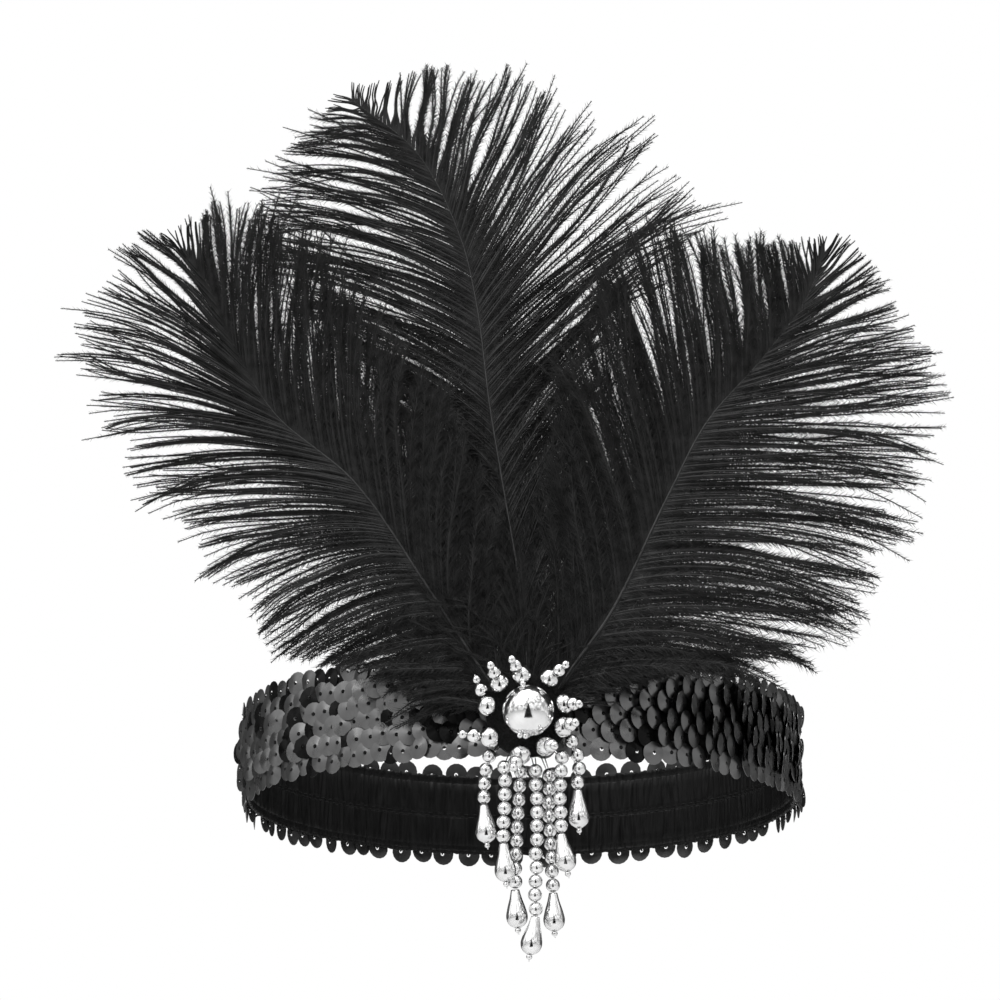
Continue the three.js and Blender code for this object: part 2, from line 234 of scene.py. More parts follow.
# Each shaft's rows are x, z and how far it stands forward of the quills. A vane's rows give where
# along the shaft a barb starts, as a share of its length, and the x and z of that barb's tip.
# cup is how far the long tips curl to the front, and reach stretches barbs that lap the next plume.
# bow is how far the barbs bow along the shaft, at its foot and at its crown, as a share of their
# length. locks is how many barbs cling together, from the fewest to one more than the most, and
# parts is where along the barbs the first locks part, at the shaft's foot and at its crown. fluff is
# how long the barbules are at the shaft's foot, middle and crown, as a share of their usual length.
# down is how far round the soft barbs at the foot fan out, in degrees to the left of the shaft, and
# they lie closer together towards its second angle.
PLUMES = (
    {
        "node": "feather_left",
        "down": (-50, 84),
        "shaft": (
            (-5.5, -9, 0), (-8, 0.5, 0), (-15, 12, 0.4), (-28, 32, 1.5), (-50, 64, 2.5),
            (-73.5, 84.5, 3), (-86, 106, 3.5), (-91.5, 120, 4), (-99.5, 131, 5),
        ),
        "vanes": (
            {
                "side": "outer",
                "cup": 6,
                "bow": (0.14, 0.17),
                "locks": (4, 10),
                "reach": 1.0,
                "parts": (0.5, 0.1),
                "fluff": (1.1, 0.6, 0.55),
                "tips": (
                    (0.06, -32, 0), (0.2, -58, 9), (0.27, -75, 13), (0.35, -84, 29), (0.42, -103, 48),
                    (0.5, -112, 64), (0.61, -125, 83), (0.66, -134, 104), (0.78, -122, 130),
                    (0.92, -108, 137), (1, -103, 138),
                ),
            },
            {
                "side": "inner",
                "cup": 0,
                "bow": (0.14, 0.08),
                "locks": (2, 7),
                "reach": 1.2,
                "parts": (0.35, 0.15),
                "fluff": (1.7, 1, 0.9),
                "tips": (
                    (0.1, -9, 42), (0.25, -26, 80), (0.4, -44, 100), (0.58, -61, 130),
                    (0.7, -77, 145), (0.84, -89, 148), (0.97, -97, 141), (1, -101, 139),
                ),
            },
        ),
    },
    {
        "node": "feather_centre",
        "down": (-65, 65),
        "shaft": (
            (0.3, -9, 0), (0, 9, 0), (-0.7, 22, -0.2), (-3, 41, -4.5), (-6.6, 63.5, -8),
            (-10.7, 89, -9), (-14.6, 119.5, -9), (-19.5, 140, -8), (-32, 164.5, -6), (-51, 180, -4),
        ),
        "vanes": (
            {
                "side": "left",
                "cup": -8,
                "bow": (0.12, 0.15),
                "locks": (3, 9),
                "reach": 1.3,
                "parts": (0.35, 0.05),
                "fluff": (1.9, 0.9, 0.65),
                "tips": (
                    (0.12, -18, 46), (0.25, -28, 75), (0.38, -37, 93), (0.53, -58, 118),
                    (0.67, -79, 146), (0.77, -76, 162), (0.92, -60, 177), (1, -57, 183),
                ),
            },
            {
                "side": "right",
                "cup": -8,
                "bow": (0.12, 0.04),
                "locks": (4, 11),
                "reach": 1.1,
                "parts": (0.35, 0.1),
                "fluff": (1.4, 0.85, 0.8),
                "tips": (
                    (0.12, 12, 42), (0.25, 16, 85), (0.4, 24, 114), (0.55, 50, 154),
                    (0.66, 22, 180), (0.76, -4, 192), (0.86, -26, 192), (0.97, -46, 185), (1, -52, 185),
                ),
            },
        ),
    },
    {
        "node": "feather_right",
        "down": (50, -64),
        "shaft": (
            (4.5, -9, 0), (7.5, 0.5, 0), (13, 10, 0.6), (24, 25.5, 3.6), (41, 60.5, 5.5),
            (52, 81.5, 6), (67.5, 99.5, 6.5), (80.5, 117, 7.5), (86, 130.5, 9),
        ),
        "vanes": (
            {
                "side": "inner",
                "cup": 1,
                "bow": (0.14, 0.04),
                "locks": (3, 8),
                "reach": 1.12,
                "parts": (0.35, 0.5),
                "fluff": (1.7, 1, 1.15),
                "tips": (
                    (0.12, 8, 52), (0.25, 10, 84), (0.39, 14, 106), (0.54, 31, 134),
                    (0.68, 53, 136), (0.85, 72, 135), (0.97, 84, 135), (1, 87, 137),
                ),
            },
            {
                "side": "outer",
                "cup": 6,
                "bow": (0.2, -0.06),
                "locks": (2, 6),
                "reach": 1.0,
                "parts": (0.4, 0.1),
                "fluff": (1.5, 1, 0.7),
                "tips": (
                    (0.06, 36, 8), (0.14, 72, 6), (0.2, 84, 11), (0.27, 91, 23), (0.42, 107, 44),
                    (0.59, 120, 73), (0.66, 122, 92), (0.75, 112, 113), (0.92, 96, 133), (1, 90, 137),
                ),
            },
        ),
    },
)

# Stacks of beads round the ball: polar place of the first bead, its distance from the ball's middle,
# the stack's heading as seen from the front, and its rise towards the viewer
RAYS = (
    (169, 11.8, 113, 9), (133, 12, 122, 54), (99, 11.3, 130, 57), (59, 12, 33, 49),
    (16, 10.8, -17, 58), (-21, 10.7, 0, 65), (-62, 10.5, -29, 70), (-100, 12, -114, 50),
    (-148, 12.8, 177, 16),
)

# Seed beads at the ends of the ball's thread: the direction of each from the ball's middle
SEED_BEADS = ((-0.2, -0.2, 1), (-0.32, -0.28, -1), (-0.1, -0.3, -1))

# Strands: number of beads, the first bead's x, z and forward of the base disc's middle, how far the
# last bead leans aside, the bow between, and the tilt of the teardrop
STRANDS = (
    (4, -10.9, -16.3, 0, -1.7, -0.3, 5),
    (6, -6.8, -20.2, 3.8, -0.2, 0.2, 4),
    (9, -2, -20.9, -0.4, -1.6, -0.2, 4),
    (11, 2.3, -21.2, 3, -0.1, 0.2, -9),
    (9, 6.3, -21.8, -0.4, 1, -0.4, 2),
    (6, 9.7, -17.3, 3.6, -0.3, -0.2, 10),
    (4, 12.9, -11.9, 0, 1.5, 1, 2),
)

# A teardrop's rows from its narrow top to its round end: down and radius
DROP_PROFILE = ((0, 1.2), (2.6, 1.8), (5.2, 2.6), (7.9, 3.1), (9.8, 2.5), (11, 0.9))

# A full-length barb from root to tip: share of its length, half its width and its barbules' length
BARB_ROWS = (
    (0, 0.3, 1.2), (0.1, 0.32, 2.0), (0.3, 0.28, 2.7), (0.55, 0.23, 2.8), (0.75, 0.2, 2.6),
    (0.9, 0.17, 2.3), (1, 0.12, 1.5),
)

# Rows across a line of shirring: the distance from it, and the share of the gathers' depth there
SHIRRING_ROWS = ((-0.9, 1), (-0.45, 0.3), (0, 0.8), (0.45, 0.3), (0.9, 1))


def grid_quads(rows, columns):
    """Quads of a grid of points that closes on itself in both directions."""
    row, column = np.meshgrid(np.arange(rows), np.arange(columns), indexing="ij")
    next_row = (row + 1) % rows
    next_column = (column + 1) % columns
    corners = (row * columns + column, next_row * columns + column,
               next_row * columns + next_column, row * columns + next_column)
    return np.stack(corners, axis=-1).reshape(-1, 4)


def lathe(profile, sides):
    """The closed profile of (radius, height) points turned about the local Z axis."""
    radius, height = np.asarray(profile, float).T
    turn = np.linspace(0, 2 * np.pi, sides, endpoint=False)
    x = np.outer(np.cos(turn), radius)
    y = np.outer(np.sin(turn), radius)
    z = np.broadcast_to(height, (sides, len(height)))
    return np.stack([x, y, z], axis=-1).reshape(-1, 3), grid_quads(sides, len(height))


def join(shapes):
    """One shape from several whose faces have the same number of corners."""
    counts = [len(points) for points, _ in shapes]
    starts = np.cumsum([0] + counts[:-1])
    points = np.concatenate([points for points, _ in shapes])
    faces = np.concatenate([faces + start for (_, faces), start in zip(shapes, starts)])
    return points, faces


def moved(shape, place, direction=(0, 0, 1)):
    """The shape with its Z axis turned to a direction and its origin at a place."""
    points, faces = shape
    turn = np.array(Vector((0, 0, 1)).rotation_difference(Vector(direction)).to_matrix())
    return points @ turn.T + np.asarray(place, float), faces


def smooth_path(rows, steps):
    """Points evenly spaced along a centripetal Catmull-Rom curve through the rows."""
    knots = np.asarray(rows, float)
    knots = np.vstack([2 * knots[0] - knots[1], knots, 2 * knots[-1] - knots[-2]])
    spans = np.sqrt(np.linalg.norm(np.diff(knots, axis=0), axis=1))
    t = np.linspace(0, 1, 60, endpoint=False)[:, None]
    stretches = []
    for i in range(1, len(knots) - 2):
        before, here, after = spans[i - 1:i + 2]
        a, b, c, d = knots[i - 1:i + 3]
        leave = ((b - a) / before - (c - a) / (before + here) + (c - b) / here) * here
        arrive = ((c - b) / here - (d - b) / (here + after) + (d - c) / after) * here
        cubic = 2 * b - 2 * c + leave + arrive
        square = -3 * b + 3 * c - 2 * leave - arrive
        stretches.append(b + leave * t + square * t ** 2 + cubic * t ** 3)
    dense = np.vstack([*stretches, knots[-2:-1]])
    length = np.concatenate([[0], np.cumsum(np.linalg.norm(np.diff(dense, axis=0), axis=1))])
    places = np.linspace(0, length[-1], steps)
    return np.stack([np.interp(places, length, dense[:, axis]) for axis in range(3)], axis=-1)


def along_path(path, share):
    """Points and unit tangents at shares of a path's length."""
    places = np.linspace(0, 1, len(path))
    tangents = np.gradient(path, axis=0)
    points = np.stack([np.interp(share, places, path[:, axis]) for axis in range(3)], axis=-1)
    heading = np.stack([np.interp(share, places, tangents[:, axis]) for axis in range(3)], axis=-1)
    return points, unit(heading)


def unit(vectors):
    return vectors / np.linalg.norm(vectors, axis=-1, keepdims=True)


def tube(path, radii, sides):
    """A round bar along a path. A last tiny ring draws each of its ends nearly to a point."""
    end_radius = [0.02]
    aslant = (0.3, 1, 0.2)
    along = unit(np.gradient(path, axis=0))
    along = np.vstack([along[:1], along, along[-1:]])
    path = np.vstack([path[:1], path, path[-1:]])
    radii = np.concatenate([end_radius, radii, end_radius])
    across = unit(np.cross(along, aslant))
    through = np.cross(along, across)
    turn = np.linspace(0, 2 * np.pi, sides, endpoint=False)
    ring = np.cos(turn)[:, None, None] * across + np.sin(turn)[:, None, None] * through
    points = path + ring * radii[:, None]
    row, column = np.meshgrid(np.arange(sides), np.arange(len(path) - 1), indexing="ij")
    next_row = (row + 1) % sides
    count = len(path)
    corners = (row * count + column, next_row * count + column,
               next_row * count + column + 1, row * count + column + 1)
    return points.reshape(-1, 3), np.stack(corners, axis=-1).reshape(-1, 4)


def add_piece(name, shape, material, slot, *nodes, smooth=True):
    """A mesh from arrays that rides on the frame's one body and stands for the CAD nodes."""
    points, faces = shape
    mesh = bpy.data.meshes.new(name)
    mesh.vertices.add(len(points))
    mesh.vertices.foreach_set("co", (points * MM).astype(np.float32).ravel())
    mesh.loops.add(faces.size)
    mesh.loops.foreach_set("vertex_index", faces.astype(np.int32).ravel())
    mesh.polygons.add(len(faces))
    mesh.polygons.foreach_set("loop_start", np.arange(0, faces.size, faces.shape[1], dtype=np.int32))
    mesh.polygons.foreach_set("use_smooth", np.full(len(faces), smooth))
    mesh.update(calc_edges=True)
    mesh.materials.append(material)
    piece = bpy.data.objects.new(name, mesh)
    bpy.context.scene.collection.objects.link(piece)
    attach(piece, "root")
    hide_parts(*nodes)
    return piece


def new_material(name, **sockets):
    """A Principled material with plain values set on its own sockets."""
    made = bpy.data.materials.new(name)
    made.use_nodes = True
    shader = made.node_tree.nodes["Principled BSDF"]
    for socket, value in sockets.items():
        shader.inputs[socket.replace("_", " ")].default_value = value
    return made, made.node_tree, shader


def noise(tree, scale, detail=3, stretch=(1, 1, 1)):
    """Noise in the object's own space. scale is in cells per metre."""
    place = tree.nodes.new("ShaderNodeTexCoord")
    mapping = tree.nodes.new("ShaderNodeMapping")
    texture = tree.nodes.new("ShaderNodeTexNoise")
    mapping.inputs["Scale"].default_value = stretch
    texture.inputs["Scale"].default_value = scale
    texture.inputs["Detail"].default_value = detail
    tree.links.new(place.outputs["Object"], mapping.inputs["Vector"])
    tree.links.new(mapping.outputs["Vector"], texture.inputs["Vector"])
    return texture.outputs["Fac"]


def grey_ramp(tree, source, socket, dark, light, low=0.3, high=0.7):
    """Drives a socket from dark to light greys by a texture."""
    ramp = tree.nodes.new("ShaderNodeValToRGB")
    ramp.color_ramp.elements[0].position = low
    ramp.color_ramp.elements[1].position = high
    ramp.color_ramp.elements[0].color = (dark, dark, dark, 1)
    ramp.color_ramp.elements[1].color = (light, light, light, 1)
    tree.links.new(source, ramp.inputs["Fac"])
    tree.links.new(ramp.outputs["Color"], socket)


def add_bump(tree, shader, source, strength, distance):
    bump = tree.nodes.new("ShaderNodeBump")
    bump.inputs["Strength"].default_value = strength
    bump.inputs["Distance"].default_value = distance * MM
    tree.links.new(source, bump.inputs["Height"])
    tree.links.new(bump.outputs["Normal"], shader.inputs["Normal"])


def feather_material():
    made, tree, shader = new_material("dyed_feather", Roughness=0.5, Specular_IOR_Level=0.22)
    grey_ramp(tree, noise(tree, 350, 4), shader.inputs["Base Color"], 0.003, 0.015)
    return made


def shaft_material():
    made, tree, shader = new_material("dyed_quill", Roughness=0.38)
    grey_ramp(tree, noise(tree, 500, 3), shader.inputs["Base Color"], 0.012, 0.03)
    add_bump(tree, shader, noise(tree, 2500, 2), 0.3, 0.1)
    return made


def sequin_material():
    made, tree, shader = new_material("black_sequin", IOR=2.3)
    grey_ramp(tree, noise(tree, 220, 2), shader.inputs["Base Color"], 0.004, 0.014)
    grey_ramp(tree, noise(tree, 160, 2), shader.inputs["Roughness"], 0.24, 0.38)
    add_bump(tree, shader, noise(tree, 700, 2), 0.12, 0.2)
    return made


# Painted shade: a darker and less shiny copy of the sequin finish, standing in for discs that look black
# because they reflect dark surroundings
def painted_shade_sequin_material():
    made, tree, shader = new_material("painted_shade_sequin", Specular_IOR_Level=0.1)
    grey_ramp(tree, noise(tree, 220, 2), shader.inputs["Base Color"], 0.002, 0.006)
    grey_ramp(tree, noise(tree, 160, 2), shader.inputs["Roughness"], 0.16, 0.3)
    return made


def sequin_back_material():
    made, tree, shader = new_material("sequin_back", Roughness=0.45)
    grey_ramp(tree, noise(tree, 220, 2), shader.inputs["Base Color"], 0.014, 0.034)
    return made


def elastic_material():
    made, tree, shader = new_material("gathered_elastic", Roughness=0.42, Specular_IOR_Level=0.15)
    grey_ramp(tree, noise(tree, 600, 3, (1, 1, 0.2)), shader.inputs["Base Color"], 0.0005, 0.006)
    add_bump(tree, shader, noise(tree, 2600, 3, (1, 1, 0.4)), 0.3, 0.15)
    return made


def thread_material():
    made, tree, shader = new_material("black_thread", Roughness=0.5, Specular_IOR_Level=0.2)
    grey_ramp(tree, noise(tree, 3000, 2), shader.inputs["Base Color"], 0.002, 0.012)
    return made


def silver_material():
    made, tree, shader = new_material("plated_bead", Metallic=1)
    grey_ramp(tree, noise(tree, 260, 3), shader.inputs["Base Color"], 0.72, 0.86)
    grey_ramp(tree, noise(tree, 420, 3), shader.inputs["Roughness"], 0.07, 0.19)
    add_bump(tree, shader, noise(tree, 900, 2), 0.1, 0.1)
    return made


def felt_material():
    made, tree, shader = new_material("black_felt", Roughness=0.95, Specular_IOR_Level=0.15)
    grey_ramp(tree, noise(tree, 1500, 5), shader.inputs["Base Color"], 0.004, 0.016)
    add_bump(tree, shader, noise(tree, 2200, 5), 0.8, 0.3)
    return made


def oval(turn, outward):
    """Places round the head opening at a distance outside it. turn is counted from the front."""
    x = np.sin(turn) * (HEAD_HALF_WIDTH + outward)
    y = -np.cos(turn) * (HEAD_HALF_DEPTH + outward)
    return x, y


def back_sag(turn):
    """How far the band hangs lower at a turn from the front."""
    return BACK_SAG * ((1 - np.cos(turn)) / 2) ** 2


def gathered_elastic():
    """The band's thin wall, pleated by uneven gathers that the shirring threads pinch."""
    rng = np.random.default_rng(SEED)
    widths = rng.uniform(*GATHER_WIDTHS, GATHERS)
    pleat_edges = np.concatenate([[0], np.cumsum(widths) / widths.sum()])
    depths = rng.uniform(*GATHER_DEPTHS, GATHERS)
    half = ELASTIC_HEIGHT / 2
    offsets, depth_there = np.array(SHIRRING_ROWS).T
    stitched = [line + offsets for line in SHIRRING_LINES]
    inside = np.unique(np.concatenate([np.linspace(-half, half, ELASTIC_ROWS), *stitched]))[::-1]
    outside = np.linspace(-half, half, OUTER_ROWS)
    heights = np.concatenate([inside, outside])
    pinch = np.ones(len(heights))
    for line in SHIRRING_LINES:
        pinch = np.minimum(pinch, np.interp(heights - line, offsets, depth_there))
    share = np.linspace(0, 1, GATHERS * GATHER_COLUMNS, endpoint=False)
    pleat = np.interp(share, pleat_edges, np.arange(GATHERS + 1))[:, None]
    wander = WANDER_SWING * np.sin(2 * np.pi * WANDERS_ROUND * share[:, None])
    pleat = pleat + GATHER_WANDER * np.sin(WANDER_SLANT * heights + wander)
    fold = np.abs(np.sin(np.pi * pleat)) * depths[np.floor(pleat).astype(int) % GATHERS]
    inner = GATHER_CREASE - GATHER_DEPTH * fold * pinch
    outer = ELASTIC_THICKNESS - OUTER_PUCKER * (1 - fold)
    is_inside = np.arange(len(heights)) < len(inside)
    outward = np.where(is_inside, inner, outer)
    x, y = oval(2 * np.pi * share[:, None], outward)
    ruffle = 1 + HEM_RUFFLE * np.sin(np.pi * pleat)
    z = heights * ruffle - back_sag(2 * np.pi * share)[:, None]
    points = np.stack([x, y, z], axis=-1).reshape(-1, 3)
    return points, grid_quads(len(share), len(heights))


def shirring_threads():
    """The pair of threads round the inside of the band that rise and dip with every stitch."""
    turn = np.linspace(0, 2 * np.pi, SHIRRING_STITCHES * 4, endpoint=False)[:, None]
    section = np.linspace(0, 2 * np.pi, 4, endpoint=False)
    loops = []
    for aside in (-THREAD_PAIR, THREAD_PAIR):
        dip = SHIRRING_DIP * np.sin(SHIRRING_STITCHES * turn + 3 * aside)
        x, y = oval(turn, SHIRRING_PLACE + dip + THREAD_RADIUS * np.cos(section))
        z = SHIRRING_LINES[1] + aside - THREAD_RADIUS * np.sin(section) - back_sag(turn)
        points = np.stack([x, y, z], axis=-1).reshape(-1, 3)
        loops.append((points, grid_quads(len(turn), len(section))))
    return join(loops)


def sequin_disc():
    """A thin cupped disc with a sewing hole, and its rim turned back towards -Z."""
    shoulder, shoulder_cup = SEQUIN_SHOULDER
    radii = np.array([SEQUIN_HOLE, shoulder * SEQUIN_RADIUS, SEQUIN_RADIUS])
    drop = np.array([0, shoulder_cup, 1]) * SEQUIN_CUP
    front = np.column_stack([radii, -drop])
    back = np.column_stack([radii[::-1], -drop[::-1] - SEQUIN_THICKNESS])
    return lathe(np.vstack([front, back])[::-1], SEQUIN_SIDES)


def sequin_turn(row, place, rng):
    """A disc's turn from the front. The discs lie closest at the right end, and widest at the back."""
    step = place + 0.5 * (row % 2) + rng.normal(0, STEP_STRAY)
    turn = 2 * np.pi * step / SEQUINS_PER_ROW
    right_end = SIDE_CROWDING * np.sin(2 * turn) * (1 + np.sin(turn)) / 2
    return turn + (right_end - FRONT_CROWDING * np.sin(turn))


def sequin_tilt(row, turn, rng):
    """How steeply a disc laps over its neighbour: most at the front right, least at the right end."""
    tilt = EDGE_ROW_TILT if row in (0, SEQUIN_ROWS - 1) else SHINGLE_TILT
    to_right = max(math.sin(turn), 0)
    to_front = max(math.cos(turn), 0)
    lift = tilt + FRONT_RIGHT_TILT * (to_right * to_front) - RIGHT_END_CALM * to_right ** 6
    return math.radians(min(lift + rng.normal(0, SEQUIN_LOOSENESS), STEEPEST_SEQUIN))


def sequin_places():
    """Staggered rows of discs, each lapped over its neighbour and tilted a little at random.

    Gives the middle of each disc, the way it faces, and where its stitch goes into the elastic.
    """
    rng = np.random.default_rng(SEED + 1)
    hem = ELASTIC_HEIGHT / 2 - STITCH_HEM
    places = []
    for row in range(SEQUIN_ROWS):
        row_height = (row - (SEQUIN_ROWS - 1) / 2) * SEQUIN_ROW_STEP
        for place in range(SEQUINS_PER_ROW):
            turn = sequin_turn(row, place, rng)
            sag = back_sag(turn)
            height = row_height + rng.normal(0, HEIGHT_STRAY) - sag
            shingle = sequin_tilt(row, turn, rng)
            nod = math.radians(rng.normal(0, SEQUIN_NOD))
            along = unit(np.array([np.cos(turn) * HEAD_HALF_WIDTH, np.sin(turn) * HEAD_HALF_DEPTH, 0]))
            out = np.array([along[1], -along[0], 0])
            face = out * math.cos(shingle) + along * math.sin(shingle)
            face = face * math.cos(nod) + np.array([0, 0, math.sin(nod)])
            clearance = ELASTIC_THICKNESS + SEQUIN_CUP + rng.uniform(*SEQUIN_LIFT)
            x, y = oval(turn, clearance + SEQUIN_RADIUS * math.sin(math.hypot(shingle, nod)))
            stitch_x, stitch_y = oval(turn, STITCH_SEAT * ELASTIC_THICKNESS)
            stitch_z = np.clip(height + sag, -hem, hem) - sag
            stitch = np.array([stitch_x, stitch_y, stitch_z])
            places.append((np.array([x, y, height]), face, stitch))
    return places


def sequin_cover(places):
    disc = sequin_disc()
    return join([moved(disc, middle, face) for middle, face, _ in places])


def sequin_finishes():
    """Material numbers of the discs' faces: 1 on backs, and elsewhere 2 on discs with painted shade, a
    darker and less shiny finish in place of the dark reflections that some discs show, and 0 on others.

    The first faces across a disc's section are its back.
    """
    section_faces = 6
    back_faces = 2
    is_back = np.arange(SEQUIN_SIDES * section_faces) % section_faces < back_faces
    rng = np.random.default_rng(SEED + 3)
    # Discs picked at random for the painted-shade finish
    is_painted_shade = rng.random(SEQUINS_PER_ROW * SEQUIN_ROWS) < PAINTED_SHADE_SEQUIN_SHARE
    return np.where(is_back, 1, 2 * is_painted_shade[:, None]).ravel()


def sequin_stitches(places):
    """The thread through the hole of each disc."""
    radii = np.full(2, STITCH_RADIUS)
    routes = [np.array([middle + STITCH_TOP * face, stitch]) for middle, face, stitch in places]
    return join([tube(route, radii, STITCH_SIDES) for route in routes])


def barb_runs(rng, count, sizes):
    """Uneven runs of neighbouring barbs: each barb's run and its place in it, from -1 to 1."""
    run, offset = [], []
    while len(run) < count:
        size = int(rng.integers(*sizes))
        run += [run[-1] + 1 if run else 0] * size
        offset += list((np.arange(size) + 0.5) / size * 2 - 1)
    return np.array(run[:count]), np.array(offset[:count])


def smooth_step(t, start, end):
    share = np.clip((t - start) / (end - start), 0, 1)
    return share * share * (3 - 2 * share)


def gathered(lines, run, cling):
    """Lines drawn to the middle line of their run. cling is each line's pull at each of its points."""
    middle = np.stack([lines[run == number].mean(axis=0) for number in range(run[-1] + 1)])[run]
    return lines + cling[..., None] * (middle - lines)


def barb_shares():
    """Shares of a barb's length at its steps."""
    return np.linspace(0, 1, BARBULE_STEPS + 1)


def bent_lines(root, bend, tip):
    """Quadratic curves from roots to tips."""
    t = barb_shares()[:, None]
    return root[:, None] * (1 - t) ** 2 + bend[:, None] * 2 * t * (1 - t) + tip[:, None] * t ** 2


def vane_tips(vane, share, root):
    """Where the tips of barbs lie that start at shares of the shaft."""
    start_share, tip_x, tip_z = np.array(vane["tips"], float).T
    x = np.interp(share, start_share, tip_x)
    z = np.interp(share, start_share, tip_z)
    return np.stack([x, root[:, 1], z], axis=-1)


def barb_starts(path, vane, rng):
    """Shares of the shaft where barbs start, to lie about evenly along the middle of the vane."""
    share = np.linspace(FIRST_BARB * vane["tips"][0][0], 1, 400)
    root, _ = along_path(path, share)
    middle = root + VANE_MIDDLE * (vane_tips(vane, share, root) - root)
    spacing = (np.linalg.norm(np.diff(middle, axis=0), axis=1)
               + ROOT_WEIGHT * np.linalg.norm(np.diff(root, axis=0), axis=1))
    length = np.concatenate([[0], np.cumsum(spacing)])
    stray = rng.normal(0, START_STRAY / BARBS_PER_VANE, BARBS_PER_VANE)
    places = np.linspace(0, 1, BARBS_PER_VANE) + stray
    return np.interp(places * length[-1], length, share)


def barb_row(path, vane, rng):
    """A vane's barbs along the shaft: where they start, and the tuft and lock that each belongs to.

    lapped stretches the ones that lap the next plume, and crown grows from 0 to 1 up the shaft.
    """
    share = barb_starts(path, vane, rng)
    root, heading = along_path(path, share)
    tuft, _ = barb_runs(rng, BARBS_PER_VANE, TUFT_BARBS)
    lock, offset = barb_runs(rng, BARBS_PER_VANE, vane["locks"])
    lapped = np.interp(share, LAPPED_SHARE, (vane["reach"], 1))
    crown = smooth_step(share, *CROWN_SHARE)
    return SimpleNamespace(share=share, root=root, heading=heading, tuft=tuft, tufts=tuft[-1] + 1,
                           lock=lock, locks=lock[-1] + 1, offset=offset, lapped=lapped, crown=crown)


def barb_curves(row, vane, rng):
    """The barbs as smooth lines with uneven tips, with those tips and the barbs' lengths."""
    reach = row.lapped * rng.uniform(*LOCK_REACH, row.locks)[row.lock]
    reach *= LONGEST_BARB - BARB_SHORTFALL * rng.random(BARBS_PER_VANE) ** 1.3
    reach *= 1 + CROWN_REACH * smooth_step(row.share, *CROWN_REACH_SHARE)
    reach *= 1 - LOCK_ROUNDING * row.offset ** 2
    tip = row.root + (vane_tips(vane, row.share, row.root) - row.root) * reach[:, None]
    length = np.linalg.norm(tip - row.root, axis=1)
    fullness = np.minimum(1, length / CURLED_LENGTH)
    ruffle = rng.normal(0, LOCK_RUFFLE, row.locks)[row.lock]
    ruffle = ruffle + rng.normal(0, BARB_RUFFLE, BARBS_PER_VANE)
    tip[:, 1] -= (vane["cup"] + ruffle) * fullness
    unevenness = FOOT_UNEVENNESS + CROWN_UNEVENNESS * row.crown
    unevenness = unevenness * rng.uniform(-1, 1, BARBS_PER_VANE)
    bow = np.interp(row.share, (0, 1), vane["bow"]) * length * (1 + unevenness)
    bend = row.root + BARB_BEND * (tip - row.root) + row.heading * bow[:, None]
    bend[:, 1] += rng.normal(0, BEND_RUFFLE, BARBS_PER_VANE) * fullness
    return bent_lines(row.root, bend, tip), tip, length


def lock_grip(row, vane, length, is_stray, rng):
    """How strongly each barb is drawn to the middle of its lock, at each of its steps."""
    t = barb_shares()
    foot, crown = vane["parts"]
    parts_at = foot + (crown - foot) * row.crown
    parts_at = (parts_at + LOCK_PARTS_SPREAD * rng.random(row.locks)[row.lock])[:, None]
    hold = 1 - GRIP_SPREAD * rng.random(BARBS_PER_VANE) ** 3
    grip = LOCK_CLING * np.where(is_stray, STRAY_GRIP, hold)
    calm = np.maximum(0, 1 - LAPPED_CALM * (row.lapped - 1))
    grip = grip * (np.minimum(1, length / LOOSE_LENGTH) ** 2 * calm)
    release = 1 - LOCK_RELEASE * smooth_step(t, LOCK_RELEASE_FROM, 1)
    return grip[:, None] * smooth_step(t, parts_at, parts_at + LOCK_PARTING) * release


def lock_swing(row, is_stray, rng):
    """How far each barb swings aside at each of its steps, as a share of its length."""
    t = barb_shares()
    phase = rng.uniform(0, 2 * np.pi, row.locks)[row.lock]
    phase = phase + rng.normal(0, PHASE_SPREAD, BARBS_PER_VANE)
    waves = rng.uniform(*LOCK_WAVES, row.locks)[row.lock]
    waves = waves + rng.normal(0, WAVES_SPREAD, BARBS_PER_VANE)
    wave = np.sin(2 * np.pi * waves[:, None] * t + phase[:, None])
    aside = rng.normal(0, TUFT_ASIDE, row.tufts)[row.tuft]
    aside = aside + rng.normal(0, LOCK_ASIDE, row.locks)[row.lock]
    aside += rng.normal(0, np.where(is_stray, STRAY_ASIDE, BARB_ASIDE))
    return LOCK_WAVE * t ** (2 - row.crown[:, None]) * wave + aside[:, None] * t ** 3


def barb_lines(path, vane, rng):
    """Centre lines of a vane's barbs, which gather into tufts and uneven locks towards their tips.

    Also gives how full each barb's barbules are.
    """
    t = barb_shares()
    row = barb_row(path, vane, rng)
    lines, tip, length = barb_curves(row, vane, rng)
    is_stray = rng.random(BARBS_PER_VANE) < STRAY_SHARE
    grip = lock_grip(row, vane, length, is_stray, rng)
    tuft_grip = TUFT_CLING * smooth_step(t, *TUFT_GATHERS) * np.ones((BARBS_PER_VANE, 1))
    lines = gathered(lines, row.tuft, tuft_grip)
    lines = gathered(lines, row.lock, grip)
    across = np.cross(unit(tip - row.root), (0, 1, 0))
    swing = lock_swing(row, is_stray, rng) * length[:, None]
    lines += swing[..., None] * across[:, None]
    lines[..., 2] -= DROOP * np.abs(tip[:, 0] - row.root[:, 0])[:, None] * t ** 3
    return lines, np.interp(row.share, FLUFF_SHARES, vane["fluff"])


